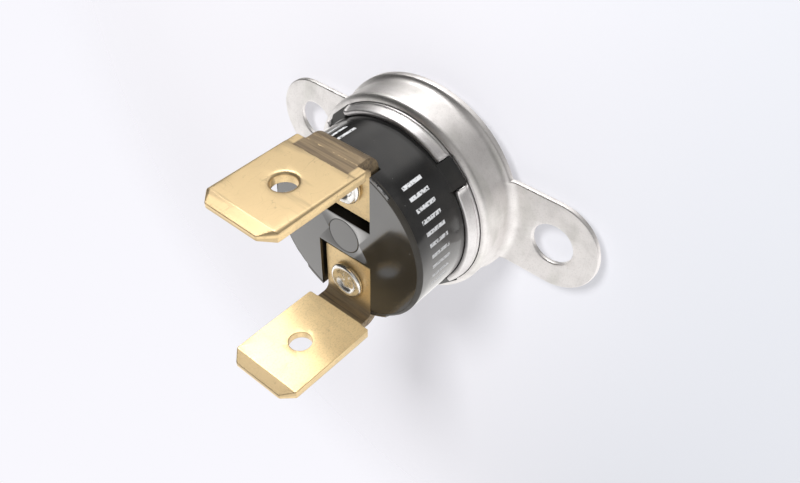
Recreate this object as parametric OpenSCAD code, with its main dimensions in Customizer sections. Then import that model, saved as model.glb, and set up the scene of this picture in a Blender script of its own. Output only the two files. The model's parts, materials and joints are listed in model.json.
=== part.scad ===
// Bimetal temperature switch: a snap disc in a crimped aluminium cup lifts a ceramic pin,
// and the pin opens a pair of contacts in a moulded body with two push-on tabs.
// The sensing face lies on the XY plane, +Z points to the tabs and +X runs along the ears.

/* [Mounting flange] */
// Distance between the centres of the two ear holes
ear_spacing = 23.8; // [22.5:0.1:28]
// Diameter of the ear holes
ear_hole_d = 3.4; // [2.6:0.1:4.4]
// Width of an ear, also the diameter of its round end
ear_w = 7.5; // [6:0.1:9]
// Height of the ears' back face above the sensing face
ear_lift = 1.1; // [0.9:0.05:1.6]
// Sheet thickness of the flange
flange_t = 0.4; // [0.3:0.05:0.5]
// Radius of the fillet between the ears and the collar
collar_fillet = 0.8; // [0.5:0.05:1]
// How far the brim, which is cut out of that fillet, stands off the collar
brim_w = 0.33; // [0.2:0.01:0.45]
// Inner bend radius of the collar's curled top edge
curl_bend = 0.1; // [0.06:0.02:0.14]

/* [Sensing cup] */
// Outer diameter of the cup's wall
cup_d = 15.9; // [15.6:0.1:17]
// Sheet thickness of the cup
cup_t = 0.35; // [0.25:0.05:0.45]
// Outer corner radius between the sensing face and the wall
cup_corner = 0.8; // [0.5:0.1:1.2]
// Inward step of the wall, which the collar is curled over
cup_step = 0.15; // [0.1:0.05:0.25]
// Height of the crimped band
crimp_h = 0.98; // [0.7:0.02:1.4]
// Height of the upright foot of that band
crimp_foot = 0.16; // [0.05:0.01:0.3]
// Inward lean of the crimped band at its edge
crimp_lean = 0.25; // [0.1:0.05:0.4]

/* [Body] */
// Height of the barrel above the crimped band
barrel_h = 5; // [4.4:0.05:6]
// Height of the body's base below the crimp
base_h = 1.95; // [1.6:0.05:2.4]
// Wall of the barrel round the switch cavity
wall_t = 0.95; // [0.8:0.05:1.1]
// Thickness of the web between the cavity and the tab slots
web_t = 1.2; // [0.8:0.05:1.6]
// Height of the bosses in the cavity that the rivets clamp against
boss_h = 0.6; // [0.4:0.05:0.9]
// Diameter of those bosses
boss_d = 2.5; // [2.2:0.1:2.8]
// Number of keys that lock the body in the crimp
key_count = 4; // [2:1:6]
// Width of a key
key_w = 2.2; // [1.5:0.1:3.5]
// Height of a key above the body's base, where its slope meets the barrel
key_h = 1.1; // [0.8:0.05:1.4]
// Height of a key's upright foot
key_foot = 0.15; // [0.05:0.05:0.4]
// How far a key's foot stands out of the crimped band's foot
key_proud = 0.05; // [0:0.05:0.2]
// Chamfer of the face's edge
face_chamfer = 0.25; // [0.1:0.05:0.5]
// Arc of that chamfer on each side, in degrees
chamfer_arc = 108; // [60:2:116]
// Width of a tab slot
slot_w = 5.05; // [5:0.05:5.8]
// Distance between the inner walls of the two slots
slot_gap = 3.4; // [3.2:0.1:4.2]
// Depth of a tab slot
slot_depth = 1.2; // [0.9:0.05:1.5]
// Diameter of the round mould mark on the face
mark_d = 3; // [2:0.1:3.2]
// Width of the mould mark's line
mark_w = 0.14; // [0.08:0.02:0.3]
// Depth of the mould mark's line
mark_depth = 0.06; // [0.02:0.02:0.2]

/* [Tabs] */
// Width of the push-on blade
tab_w = 6.3; // [4.7:0.1:6.5]
// Sheet thickness of the tab
tab_t = 0.8; // [0.5:0.05:0.9]
// Length of the blade above its shoulders
tab_len = 8.6; // [7:0.1:10]
// How far the blades' inner faces stand outside the line of the barrel
tab_reach = 0.12; // [0:0.02:0.4]
// Width of the tab's base plate and neck
plate_w = 4.65; // [4:0.05:4.9]
// Distance between the inner ends of the two base plates
plate_gap = 4.6; // [4.4:0.1:5.2]
// Inner bend radius between the base plate and the neck
bend_r = 0.55; // [0.4:0.05:0.9]
// Height of the neck between the bend and the shoulders
neck_h = 0.7; // [0.2:0.05:1.2]
// Diameter of the detent hole
hole_d = 1.8; // [1.2:0.1:2.2]
// Height of the detent hole above the shoulders
hole_h = 4.2; // [3:0.1:5]
// Bevel of the detent hole's rims
hole_bevel = 0.12; // [0.05:0.01:0.25]
// Bevel of the blade's long edges
edge_bevel = 0.18; // [0.05:0.01:0.25]
// Corner chamfer at the blade's tip
tip_chamfer = 0.9; // [0.4:0.1:1.4]
// Length of the coined bevel at the tip
tip_bevel = 0.9; // [0.3:0.05:1.2]
// Sheet thickness left at the tip's edge
tip_t = 0.35; // [0.25:0.05:0.45]

/* [Rivets] */
// Distance from a rivet's axis to the wall of the switch cavity
rivet_inset = 1.5; // [1.4:0.05:1.8]
// Diameter of a rivet's shank
rivet_d = 1.5; // [1.2:0.05:1.6]
// Diameter of the rolled outer head
rivet_head_d = 3; // [2.6:0.1:3.4]
// Height of the rolled outer head
rivet_head_h = 0.5; // [0.4:0.05:0.7]
// Diameter of the dish in the rolled head
rivet_dish_d = 1.6; // [1:0.1:1.7]
// Depth of that dish
rivet_dish_h = 0.28; // [0.1:0.02:0.35]
// Diameter of the inner head
rivet_foot_d = 1.9; // [1.8:0.05:2]
// Height of the inner head
rivet_foot_h = 0.4; // [0.3:0.05:0.5]

/* [Switch] */
// Width of the guide's rim round the bimetal disc
guide_rim_w = 1.1; // [0.8:0.05:1.6]
// Thickness of the bimetal disc
disc_t = 0.2; // [0.15:0.05:0.25]
// Height of the disc's dish
disc_crown = 0.45; // [0.3:0.05:0.5]
// Height of the room that the disc snaps in
disc_room = 0.9; // [0.8:0.05:1.2]
// Thickness of the pin guide's plate
guide_t = 1.55; // [1.2:0.05:2]
// Diameter of the guide's sleeve round the pin
guide_sleeve_d = 3.6; // [3:0.1:4.4]
// Height of that sleeve above the plate
guide_sleeve_h = 1.1; // [0.6:0.1:1.4]
// Height of the guide's spigot in the cavity
spigot_h = 0.4; // [0.2:0.05:0.6]
// Diameter of the push pin
pin_d = 2; // [1.6:0.1:2.1]
// Chamfer at the push pin's ends
pin_chamfer = 0.5; // [0.3:0.05:0.6]
// Thickness of the contact arm's leaf
arm_t = 0.2; // [0.15:0.05:0.25]
// Width of the contact arm's leaf
arm_w = 1.5; // [1.2:0.1:1.5]
// Diameter of the contact arm's round root
arm_root_d = 2.6; // [2.2:0.1:2.8]
// Flat length between the arm's round root and its first bend
arm_flat = 0.2; // [0.1:0.05:0.4]
// Drop of the arm from its root to its tip
arm_drop = 0.7; // [0.6:0.05:0.8]
// Diameter of the contact heads
contact_d = 1.4; // [1.2:0.1:1.5]
// Height of the contact heads
contact_h = 0.5; // [0.3:0.05:0.6]
// Diameter of the contacts' shanks
contact_shank_d = 0.7; // [0.5:0.05:0.8]
// Diameter of the contacts' clinched tails
contact_tail_d = 1.1; // [0.95:0.05:1.3]
// Height of the contacts' clinched tails
contact_tail_h = 0.12; // [0.08:0.02:0.2]
// Thickness of the fixed contact's strip
strip_t = 0.3; // [0.2:0.05:0.35]
// Width of the fixed contact's strip
strip_w = 2.4; // [2:0.1:2.6]

/* [Fits] */
// Gap between the cup and the parts inside it
cup_fit = 0.05; // [0.02:0.01:0.08]
// Gap between the flange's collar and the cup
flange_fit = 0.02; // [0.01:0.01:0.04]
// Gap under the curled edge of the collar
curl_gap = 0.04; // [0.02:0.01:0.08]
// Gap between a key and its notch
key_fit = 0.08; // [0.04:0.02:0.16]
// Gap round a shank in its hole
shank_fit = 0.02; // [0.01:0.01:0.05]
// Gap round the push pin in its guide
pin_fit = 0.05; // [0.02:0.01:0.09]
// Gap at each end of the push pin when the contacts are closed
pin_gap = 0.05; // [0.03:0.01:0.08]
// Gap between pieces that are clamped or rest on each other
seat_gap = 0.01; // [0.01:0.01:0.02]
// Gap between the closed contacts
contact_gap = 0.03; // [0.02:0.01:0.05]
// Gap round the disc and the spigot in their seats
locate_fit = 0.1; // [0.05:0.01:0.15]

/* [Hidden] */
$fn = 96;
// Overlap of joined solids and overshoot of cuts
eps = 0.02;

// Radii
cup_r = cup_d / 2;
band_r = cup_r - cup_step;
base_r = band_r - cup_t - cup_fit;
body_r = base_r - crimp_lean;
key_r = band_r + key_proud;
collar_in = cup_r + flange_fit;
collar_out = collar_in + flange_t;
curl_r = curl_bend + flange_t;
fillet_end = collar_out + collar_fillet;
brim_r = collar_out + brim_w;
ear_end = (ear_spacing + ear_w) / 2;
cavity_r = body_r - wall_t;
guide_r = cup_r - cup_t - cup_fit;
disc_r = guide_r - guide_rim_w - locate_fit;
rivet_y = cavity_r - rivet_inset;

// Heights, from the sensing face up
guide_z = cup_t + disc_room;
seat_z = guide_z + guide_t;
crimp_z = seat_z + base_h;
band_z = crimp_z + crimp_h;
face_z = band_z + barrel_h;
slot_z = face_z - slot_depth;
plate_z = slot_z + tab_t;
bend_z = plate_z + bend_r;
shoulder_z = bend_z + neck_h;
tip_z = shoulder_z + tab_len;
ceiling_z = slot_z - web_t;
boss_z = ceiling_z - boss_h;
collar_z = crimp_z - curl_gap;
step_z = collar_z - flange_t - curl_gap - (curl_bend - flange_fit);
ear_z = ear_lift + flange_t;
disc_z = cup_t + seat_gap;

// Blade faces
blade_in = body_r + tab_reach;
blade_out = blade_in + tab_t;

// The fixed strip's leg and shelf end, with the contacts midway between the leg and the pin
strip_leg = rivet_y - rivet_foot_d / 2 - locate_fit;
strip_end = pin_d / 2 + locate_fit;
contact_y = (strip_leg - strip_t + pin_d / 2) / 2;

// The contact arm's side view
arm_knee = rivet_y - arm_root_d / 2 - arm_flat;
arm_top = boss_z - seat_gap;
arm_bottom = arm_top - arm_t;
tip_knee = contact_y - arm_w / 2;
arm_slope = arm_drop / (arm_knee + tip_knee);
tip_top = arm_top - arm_drop;
tip_bottom = tip_top - arm_t;

// The push pin reaches from the disc to the arm
pin_low = disc_z + disc_t + pin_gap;
pin_nose_r = pin_d / 2 - pin_chamfer;
pin_high = arm_bottom - arm_slope * (arm_knee + pin_nose_r) - pin_gap;

// The fixed contact lies under the moving one
contact_low = tip_bottom - contact_h;
fixed_top = contact_low - contact_gap;
shelf_top = fixed_top - contact_h;
shelf_low = shelf_top - strip_t;
strip_top = boss_z - seat_gap;

// Copies its children on both sides, at +Y and at -Y
module both_sides() {
    children();
    mirror([0, 1, 0]) children();
}

// Stretches a side view, drawn with Y and Z, along X
module across(width) {
    rotate([90, 0, 90]) linear_extrude(width, center = true) children();
}

// Ring with a rectangular section
module ring(r_in, r_out, z_low, z_high) {
    translate([0, 0, z_low]) difference() {
        cylinder(r = r_out, h = z_high - z_low);
        translate([0, 0, -eps]) cylinder(r = r_in, h = z_high - z_low + 2 * eps);
    }
}

// Quarter of a bent sheet, curving from straight down to straight right about the origin
module sheet_bend(r_in, thickness) {
    difference() {
        circle(r = r_in + thickness);
        circle(r = r_in);
        translate([-2 * (r_in + thickness), 0]) square(4 * (r_in + thickness));
        translate([-4 * (r_in + thickness), -2 * (r_in + thickness)]) square(4 * (r_in + thickness));
    }
}

// Half section of a cup with a rounded floor, as wide as r
module cup_section(r, corner, height) {
    square([r - corner, height]);
    translate([0, corner]) square([r, height - corner]);
    translate([r - corner, corner]) circle(r = corner);
}

// Half section of the wall above the cup's floor: straight, stepped in, then leaning in
module wall_section(inset, low, high) {
    lean_z = crimp_z + crimp_foot;
    polygon([
        [0, low],
        [cup_r - inset, low],
        [cup_r - inset, step_z],
        [band_r - inset, step_z + cup_step],
        [band_r - inset, lean_z],
        [band_r - inset - crimp_lean * (high - lean_z) / (band_z - lean_z), high],
        [0, high]
    ]);
}

// Boxes that stand at the keys' places round the axis
module at_keys(width, reach, low, high) {
    for (i = [0 : key_count - 1])
        rotate([0, 0, (i + 0.5) * 360 / key_count])
            translate([0, -width / 2, low])
                cube([reach, width, high - low]);
}

module sensing_cup() {
    color([0.78, 0.79, 0.8]) difference() {
        rotate_extrude() difference() {
            union() {
                cup_section(cup_r, cup_corner, guide_z);
                wall_section(0, guide_z - eps, band_z);
            }
            translate([0, cup_t]) cup_section(cup_r - cup_t, cup_corner - cup_t, guide_z);
            wall_section(cup_t, guide_z, band_z + eps);
        }
        at_keys(key_w + 2 * key_fit, cup_r + eps, crimp_z, band_z + 2 * eps);
    }
}

// Half section of the drawn sheet: curled top edge, collar, foot fillet, then flat out past the ears
module drawn_section() {
    fillet_z = ear_z + collar_fillet;
    translate([collar_out - curl_r, collar_z - curl_r]) mirror([0, 1]) sheet_bend(curl_bend, flange_t);
    translate([collar_in, fillet_z - eps]) square([flange_t, collar_z - curl_r - fillet_z + 2 * eps]);
    translate([fillet_end, fillet_z]) mirror([1, 0]) sheet_bend(collar_fillet, flange_t);
    translate([fillet_end - eps, ear_lift]) square([ear_end - fillet_end + 2 * eps, flange_t]);
}

// Outline that the drawn sheet is trimmed to: the brim with an ear on each side
module trim_outline() {
    difference() {
        union() {
            circle(r = brim_r);
            square([ear_spacing, ear_w], center = true);
            for (side = [-1, 1]) translate([side * ear_spacing / 2, 0]) circle(d = ear_w);
        }
        for (side = [-1, 1]) translate([side * ear_spacing / 2, 0]) circle(d = ear_hole_d);
    }
}

module mounting_flange() {
    color([0.82, 0.81, 0.79]) intersection() {
        rotate_extrude() drawn_section();
        linear_extrude(crimp_z) trim_outline();
    }
}

// The disc is cold here, dished towards the sensing face
module bimetal_disc() {
    dish_r = (disc_r * disc_r + disc_crown * disc_crown) / (2 * disc_crown);
    color([0.62, 0.6, 0.56]) translate([0, 0, disc_z]) rotate_extrude() intersection() {
        translate([0, dish_r]) difference() {
            circle(r = dish_r);
            circle(r = dish_r - disc_t);
        }
        square([disc_r, disc_crown + disc_t]);
    }
}

module pin_guide() {
    foot = cup_corner - cup_t + cup_fit;
    sleeve_z = seat_z + guide_sleeve_h;
    bore_r = pin_d / 2 + pin_fit;
    color([0.35, 0.24, 0.17]) rotate_extrude() polygon([
        [bore_r, guide_z],
        [disc_r + locate_fit, guide_z],
        [disc_r + locate_fit, cup_t],
        [guide_r - foot, cup_t],
        [guide_r, cup_t + foot],
        [guide_r, seat_z],
        [cavity_r - locate_fit, seat_z],
        [cavity_r - locate_fit, seat_z + spigot_h],
        [guide_sleeve_d / 2, seat_z + spigot_h],
        [guide_sleeve_d / 2, sleeve_z],
        [bore_r, sleeve_z]
    ]);
}

module push_pin() {
    color([0.93, 0.92, 0.88]) rotate_extrude() polygon([
        [0, pin_low],
        [pin_nose_r, pin_low],
        [pin_d / 2, pin_low + pin_chamfer],
        [pin_d / 2, pin_high - pin_chamfer],
        [pin_nose_r, pin_high],
        [0, pin_high]
    ]);
}

// Ring wedges that break the face's edge on both sides
module face_edge_cut() {
    for (side = [0, 180])
        rotate([0, 0, side - chamfer_arc / 2])
            rotate_extrude(angle = chamfer_arc)
                polygon([
                    [body_r - face_chamfer, face_z],
                    [body_r + eps, face_z - face_chamfer - eps],
                    [body_r + eps, face_z + eps],
                    [body_r - face_chamfer, face_z + eps]
                ]);
}

// Shell of the body with the switch cavity open at its foot
module body_shell() {
    rotate_extrude() polygon([
        [cavity_r, seat_z],
        [base_r, seat_z],
        [base_r, crimp_z],
        [body_r, band_z],
        [body_r, face_z],
        [0, face_z],
        [0, ceiling_z],
        [cavity_r, ceiling_z]
    ]);
}

// Wedges that fill the notches of the crimped band, sloping out from the barrel
module body_keys() {
    root_r = (cavity_r + body_r) / 2;
    low = crimp_z + key_fit;
    top = crimp_z + key_h;
    intersection() {
        rotate_extrude() polygon([
            [root_r, low],
            [key_r, low],
            [key_r, low + key_foot],
            [body_r, top],
            [root_r, top]
        ]);
        at_keys(key_w, key_r + eps, low - eps, top + eps);
    }
}

module switch_body() {
    color([0.07, 0.065, 0.06]) difference() {
        union() {
            body_shell();
            body_keys();
            both_sides() translate([0, rivet_y, boss_z]) cylinder(d = boss_d, h = boss_h + eps);
        }
        face_edge_cut();
        both_sides() {
            translate([-slot_w / 2, slot_gap / 2, slot_z]) cube([slot_w, body_r, slot_depth + eps]);
            translate([0, rivet_y, boss_z - eps])
                cylinder(d = rivet_d + 2 * shank_fit, h = slot_z - boss_z + 2 * eps);
        }
        ring(mark_d / 2 - mark_w, mark_d / 2, face_z - mark_depth, face_z + eps);
    }
}

// Side view of the base plate, the bend and the neck
module tab_foot() {
    bend_y = blade_in - bend_r;
    translate([plate_gap / 2, slot_z]) square([bend_y - plate_gap / 2 + eps, tab_t]);
    translate([bend_y, bend_z]) sheet_bend(bend_r, tab_t);
    translate([blade_in, bend_z - eps]) square([tab_t, neck_h + 2 * eps]);
}

// Front view of the blade with its chamfered tip
module blade_outline() {
    half = tab_w / 2;
    polygon([
        [-half, shoulder_z],
        [half, shoulder_z],
        [half, tip_z - tip_chamfer],
        [half - tip_chamfer, tip_z],
        [tip_chamfer - half, tip_z],
        [-half, tip_z - tip_chamfer]
    ]);
}

// Cross-section of the blade with bevelled long edges
module blade_section() {
    half = tab_w / 2;
    polygon([
        [-half, blade_in + edge_bevel],
        [edge_bevel - half, blade_in],
        [half - edge_bevel, blade_in],
        [half, blade_in + edge_bevel],
        [half, blade_out - edge_bevel],
        [half - edge_bevel, blade_out],
        [edge_bevel - half, blade_out],
        [-half, blade_out - edge_bevel]
    ]);
}

module blade() {
    intersection() {
        translate([0, blade_out + eps, 0]) rotate([90, 0, 0]) linear_extrude(tab_t + 2 * eps) blade_outline();
        translate([0, 0, bend_z]) linear_extrude(tip_z - bend_z + eps) blade_section();
    }
}

// Detent hole through the blade, bevelled at both rims
module detent_hole() {
    hole_r = hole_d / 2;
    rim_r = hole_r + hole_bevel + eps;
    translate([0, blade_out, shoulder_z + hole_h]) rotate([90, 0, 0]) rotate_extrude() polygon([
        [0, -eps],
        [rim_r, -eps],
        [hole_r, hole_bevel],
        [hole_r, tab_t - hole_bevel],
        [rim_r, tab_t + eps],
        [0, tab_t + eps]
    ]);
}

// Side view of what the coining takes off both faces of the tip
module tip_cut() {
    coin = (tab_t - tip_t) / 2;
    for (side = [0, 1])
        translate([blade_in + side * tab_t, 0])
            mirror([side, 0])
                polygon([
                    [-eps, tip_z - tip_bevel],
                    [0, tip_z - tip_bevel],
                    [coin, tip_z],
                    [coin, tip_z + eps],
                    [-eps, tip_z + eps]
                ]);
}

module terminal() {
    color([0.79, 0.62, 0.3]) difference() {
        union() {
            across(plate_w) tab_foot();
            blade();
        }
        across(tab_w + 2 * eps) tip_cut();
        detent_hole();
        translate([0, rivet_y, slot_z - eps])
            cylinder(d = rivet_d + 2 * shank_fit, h = tab_t + 2 * eps);
    }
}

module upper_terminal() {
    terminal();
}

module lower_terminal() {
    mirror([0, 1, 0]) terminal();
}

// Rivet with a rolled outer head, which clamps a sheet of the given thickness under its boss
module rivet(clamped) {
    foot_z = boss_z - clamped - 2 * seat_gap;
    head_z = plate_z + seat_gap;
    head_top = head_z + rivet_head_h;
    roll_r = rivet_head_h / 2;
    rim_r = rivet_head_d / 2 - roll_r;
    dish_r = rivet_dish_d / 2;
    color([0.8, 0.8, 0.8]) translate([0, rivet_y, 0]) rotate_extrude() {
        polygon([
            [0, foot_z - rivet_foot_h],
            [rivet_foot_d / 2, foot_z - rivet_foot_h],
            [rivet_foot_d / 2, foot_z],
            [rivet_d / 2, foot_z],
            [rivet_d / 2, head_z],
            [rim_r, head_z],
            [rim_r, head_top],
            [dish_r + rivet_dish_h, head_top],
            [dish_r, head_top - rivet_dish_h],
            [0, head_top - rivet_dish_h]
        ]);
        translate([rim_r, head_z + roll_r]) circle(r = roll_r);
    }
}

module upper_rivet() {
    rivet(arm_t);
}

module lower_rivet() {
    mirror([0, 1, 0]) rivet(strip_t);
}

// Side view of the leaf: flat root, sloping span, flat tip
module arm_side() {
    root_end = rivet_y + arm_root_d / 2;
    tip_end = -contact_y - arm_w / 2;
    polygon([
        [root_end, arm_top],
        [arm_knee, arm_top],
        [-tip_knee, tip_top],
        [tip_end, tip_top],
        [tip_end, tip_bottom],
        [-tip_knee, tip_bottom],
        [arm_knee, arm_bottom],
        [root_end, arm_bottom]
    ]);
}

// Plan of the leaf: a strip with a wide round root and a round tip
module arm_plan() {
    translate([0, rivet_y]) circle(d = arm_root_d);
    translate([-arm_w / 2, -contact_y]) square([arm_w, contact_y + rivet_y]);
    translate([0, -contact_y]) circle(d = arm_w);
}

module contact_arm() {
    hole_z = tip_bottom - eps;
    color([0.75, 0.52, 0.32]) difference() {
        intersection() {
            across(arm_root_d) arm_side();
            translate([0, 0, hole_z]) linear_extrude(arm_top - hole_z + eps) arm_plan();
        }
        translate([0, rivet_y, arm_bottom - eps])
            cylinder(d = rivet_d + 2 * shank_fit, h = arm_t + 2 * eps);
        translate([0, -contact_y, hole_z])
            cylinder(d = contact_shank_d + 2 * shank_fit, h = arm_t + 2 * eps);
    }
}

// Riveted contact with its head up, its seat at z = 0 and its tail under the clamped sheet
module contact(clamped) {
    tail_z = -clamped - seat_gap;
    edge = contact_h / 4;
    rotate_extrude() polygon([
        [0, tail_z - contact_tail_h],
        [contact_tail_d / 2, tail_z - contact_tail_h],
        [contact_tail_d / 2, tail_z],
        [contact_shank_d / 2, tail_z],
        [contact_shank_d / 2, 0],
        [contact_d / 2, 0],
        [contact_d / 2, contact_h - edge],
        [contact_d / 2 - edge, contact_h],
        [0, contact_h]
    ]);
}

module moving_contact() {
    color([0.86, 0.86, 0.84])
        translate([0, -contact_y, tip_bottom])
            mirror([0, 0, 1])
                contact(arm_t);
}

module fixed_contact() {
    color([0.86, 0.86, 0.84]) translate([0, -contact_y, shelf_top]) contact(strip_t);
}

// Side view of the strip: clamped pad, leg, shelf
module strip_side() {
    pad_len = rivet_foot_d + locate_fit;
    translate([-strip_leg - pad_len, strip_top - strip_t]) square([pad_len + strip_t, strip_t]);
    translate([-strip_leg, shelf_low]) square([strip_t, strip_top - shelf_low]);
    translate([-strip_leg, shelf_low]) square([strip_leg - strip_end, strip_t]);
}

module fixed_strip() {
    color([0.8, 0.6, 0.3]) difference() {
        across(strip_w) strip_side();
        translate([0, -rivet_y, strip_top - strip_t - eps])
            cylinder(d = rivet_d + 2 * shank_fit, h = strip_t + 2 * eps);
        translate([0, -contact_y, shelf_low - eps])
            cylinder(d = contact_shank_d + 2 * shank_fit, h = strip_t + 2 * eps);
    }
}

sensing_cup();
mounting_flange();
bimetal_disc();
pin_guide();
push_pin();
switch_body();
upper_terminal();
lower_terminal();
upper_rivet();
lower_rivet();
contact_arm();
moving_contact();
fixed_strip();
fixed_contact();
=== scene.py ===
"""Bimetal temperature switch: the finish of its pieces and a studio stage to show them on.

Shapes are worked out in millimetres and become metres when a mesh is finished. The frame gives
the places: the sensing face lies on the XY plane, +Z points to the tabs, +X runs along the ears.
"""

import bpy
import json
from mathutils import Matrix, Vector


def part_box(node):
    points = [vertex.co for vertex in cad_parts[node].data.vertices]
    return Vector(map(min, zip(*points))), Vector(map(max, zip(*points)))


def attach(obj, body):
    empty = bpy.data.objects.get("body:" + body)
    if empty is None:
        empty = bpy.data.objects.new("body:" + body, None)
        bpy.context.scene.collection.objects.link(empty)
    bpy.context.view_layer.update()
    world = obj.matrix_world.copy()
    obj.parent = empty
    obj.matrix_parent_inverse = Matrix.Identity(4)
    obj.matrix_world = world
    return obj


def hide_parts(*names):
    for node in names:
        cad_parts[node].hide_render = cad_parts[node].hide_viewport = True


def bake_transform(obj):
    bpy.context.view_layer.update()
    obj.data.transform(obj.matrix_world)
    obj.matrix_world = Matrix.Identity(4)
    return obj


bl_info = {
    "name": "Bimetal temperature switch",
    "version": (1, 0, 0),
    "blender": (4, 5, 0),
    "location": "3D View > Sidebar > Switch",
    "description": "Makes the pieces of a snap-disc temperature switch and a stage for them",
    "category": "Object",
}

import json
import math

import bmesh
import bpy
from bpy.props import FloatProperty, FloatVectorProperty, PointerProperty
from mathutils import Matrix, Vector, noise

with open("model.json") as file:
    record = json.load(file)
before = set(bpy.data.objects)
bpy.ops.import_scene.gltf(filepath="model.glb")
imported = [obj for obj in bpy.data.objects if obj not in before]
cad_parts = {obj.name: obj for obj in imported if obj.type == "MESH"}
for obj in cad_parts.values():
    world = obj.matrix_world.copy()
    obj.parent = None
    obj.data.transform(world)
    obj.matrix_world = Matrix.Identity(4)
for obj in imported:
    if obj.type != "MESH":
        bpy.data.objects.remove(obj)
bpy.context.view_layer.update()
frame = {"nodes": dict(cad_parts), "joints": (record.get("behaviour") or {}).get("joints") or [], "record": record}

MM = 0.001
HOUSING = "housing"


def reach(node):
    """Lowest and highest corner of a node, in millimetres."""
    low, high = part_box(node)
    return low / MM, high / MM


FLANGE_LOW, FLANGE_HIGH = reach("mounting_flange")
_, CUP_HIGH = reach("sensing_cup")
BODY_LOW, BODY_HIGH = reach("switch_body")
TAB_LOW, TAB_HIGH = reach("upper_terminal")
RIVET_LOW, RIVET_HIGH = reach("upper_rivet")
EAR_HOLES = next(m for m in frame["record"]["mounts"] if m["name"] == "ear_holes")["dims"]


def length(name, description, default):
    """A size that the user can change, given in millimetres."""
    return FloatProperty(
        name=name, description=description, default=default * MM, min=0, precision=5, unit="LENGTH"
    )


def colour(name, description, default):
    """A colour that the user can change, in linear light."""
    return FloatVectorProperty(
        name=name, description=description, default=default, min=0, max=1, size=3, subtype="COLOR"
    )


def strength(name, description, default):
    """A level of light that the user can change."""
    return FloatProperty(name=name, description=description, default=default, min=0)


def standing_point(name, description, default):
    """A place that the user can change, in metres."""
    return FloatVectorProperty(
        name=name, description=description, default=default, size=3, subtype="TRANSLATION",
        unit="LENGTH")


class SwitchSizes(bpy.types.PropertyGroup):
    """Sizes that the frame's boxes don't give."""

    flange_sheet: length("Flange sheet", "Thickness of the flange's sheet", 0.4)
    collar_inside: length("Collar inside", "Inner radius of the drawn collar", 7.97)
    collar_fillet: length("Collar fillet", "Radius between the collar and the ears", 0.8)
    curl_bend: length("Curl bend", "Inner radius of the collar's curled edge", 0.1)
    ear_edge: length("Ear edge", "Rounding of the stamped edge on the front of the ears", 0.1)
    cup_sheet: length("Cup sheet", "Thickness of the cup's sheet", 0.35)
    cup_corner: length("Cup corner", "Radius between the sensing face and the cup's wall", 0.8)
    cup_step: length("Cup step", "Inward step of the cup's wall under the collar's curl", 0.15)
    crimp_height: length("Crimp height", "Height of the crimped band", 0.98)
    crimp_foot: length("Crimp foot", "Height of the band's upright foot", 0.16)
    crimp_lean: length("Crimp lean", "Inward lean of the band at its edge", 0.25)
    key_width: length("Key width", "Width of the keys in the band's notches", 2.2)
    key_height: length("Key height", "Height of the keys' slope above the body's base", 1.1)
    key_foot: length("Key foot", "Height of the keys' upright foot", 0.15)
    key_proud: length("Key proud", "How far the keys' foot stands out of the band's foot", 0.05)
    face_chamfer: length("Face chamfer", "Chamfer of the face's edge on both sides", 0.25)
    slot_width: length("Slot width", "Width of a tab slot", 5.05)
    slot_gap: length("Slot gap", "Distance between the two slots", 3.4)
    slot_depth: length("Slot depth", "Depth of a tab slot", 1.2)
    mark_diameter: length("Mark diameter", "Diameter of the round mould mark", 3.0)
    tab_sheet: length("Tab sheet", "Thickness of the tabs", 0.8)
    tab_plate_width: length("Plate width", "Width of a tab's base plate and neck", 4.65)
    tab_bend: length("Tab bend", "Inner bend radius between base plate and neck", 0.55)
    tab_length: length("Tab length", "Length of the blade above its shoulders", 8.6)
    tab_edge: length("Tab edge", "Rounding along the blade's edges", 0.22)
    tip_edge: length("Tip edge", "Rounding along the blade's tip", 0.05)
    neck_coin: length("Neck coin", "How deep the bending tool pressed the neck's outer face", 0.03)
    tab_hole: length("Tab hole", "Diameter of the detent hole", 1.8)
    tab_hole_height: length("Hole height", "Height of the detent hole above the shoulders", 4.2)
    tip_chamfer: length("Tip chamfer", "Corner chamfer at the blade's tip", 0.9)
    tip_bevel: length("Tip bevel", "Length of the coined bevel at the tip", 0.9)
    tip_sheet: length("Tip sheet", "Thickness left at the tip's edge", 0.35)
    rivet_shank: length("Rivet shank", "Diameter of a rivet's shank", 1.5)
    rivet_head: length("Rivet head", "Height of a rivet's rolled head", 0.5)
    rivet_dish: length("Rivet dish", "Diameter of the dish in the rolled head", 1.6)


class SwitchColours(bpy.types.PropertyGroup):
    """Colours of the finishes."""

    brass: colour("Brass", "Rolled brass of the tabs", (0.84, 0.64, 0.35))
    # Real tarnish, and also the colour of the painted shade on the tabs.
    tarnish_and_shade: colour("Tarnish", "Handled and tooled brass", (0.18, 0.14, 0.10))
    aluminium: colour("Aluminium", "Drawn sheet of the flange", (0.87, 0.85, 0.845))
    cup: colour("Cup", "Spun sheet of the cup", (0.82, 0.805, 0.81))
    plating: colour("Plating", "Bright plating of the rivets", (0.90, 0.89, 0.87))
    phenolic: colour("Phenolic", "Moulded body", (0.009, 0.009, 0.009))
    dust: colour("Dust", "Dust and worn flash on the body", (0.42, 0.42, 0.42))
    ink: colour("Ink", "Worn white ticks printed on the body", (0.62, 0.63, 0.64))
    room: colour("Room", "Light of the room", (1.0, 0.98, 0.96))
    floor: colour("Floor", "Paper under the switch", (0.947, 0.939, 0.991))
    # Painted shade on the paper, on the side away from the light.
    floor_far_shade: colour("Far floor", "Paper on the side away from the light", (0.82, 0.84, 0.90))


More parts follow.
